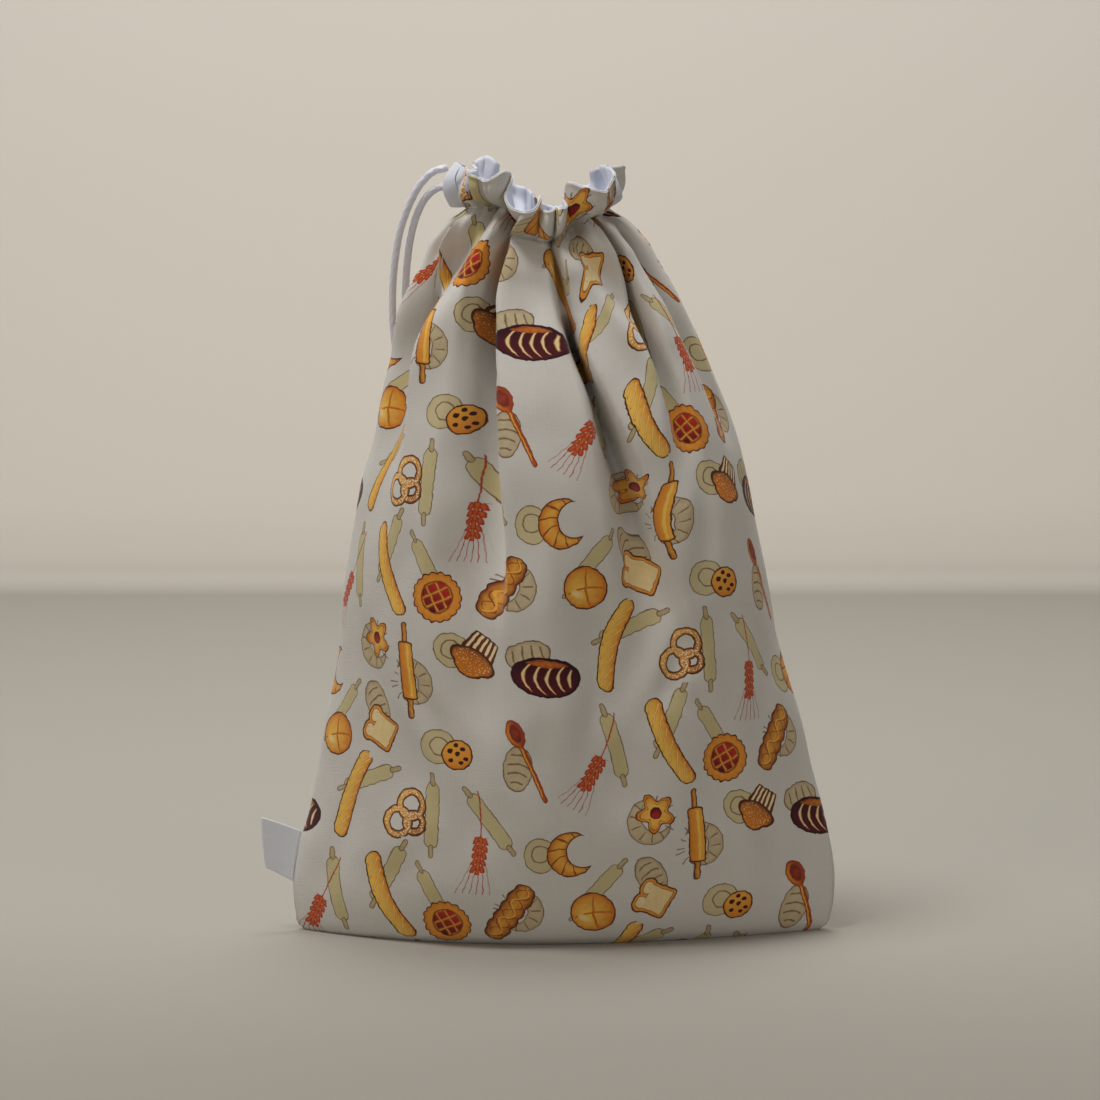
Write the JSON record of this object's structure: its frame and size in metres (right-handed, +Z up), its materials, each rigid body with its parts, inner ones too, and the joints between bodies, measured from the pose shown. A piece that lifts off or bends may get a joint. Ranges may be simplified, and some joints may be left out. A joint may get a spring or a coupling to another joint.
{
  "type": "drawstring bread bag",
  "caption": "Lined cotton bread bag standing full, its mouth drawn in by a cord that leaves the casing's left side and hangs behind to a knot.",
  "frame": {"origin": "middle of the flat underside, on the floor", "axes": "+Z up, -Y towards the front, +X towards the bag's right seam as seen from the front"},
  "size_m": [0.2973, 0.1417, 0.3993],
  "materials": {
    "printed_cotton": "plain weave, printed, matt",
    "lining_cotton": "plain weave, white, matt",
    "label_tape": "smooth woven tape, bare",
    "cord": "braided cord, soft sheen"
  },
  "bodies": {
    "root": {"bag_outer": "printed_cotton", "lining": "lining_cotton", "casing_facing": "lining_cotton", "side_label": "label_tape", "cord_upper": "cord", "cord_lower": "cord", "cord_knot": "cord", "tail_left": "cord", "tail_right": "cord"}
  },
  "joints": []
}
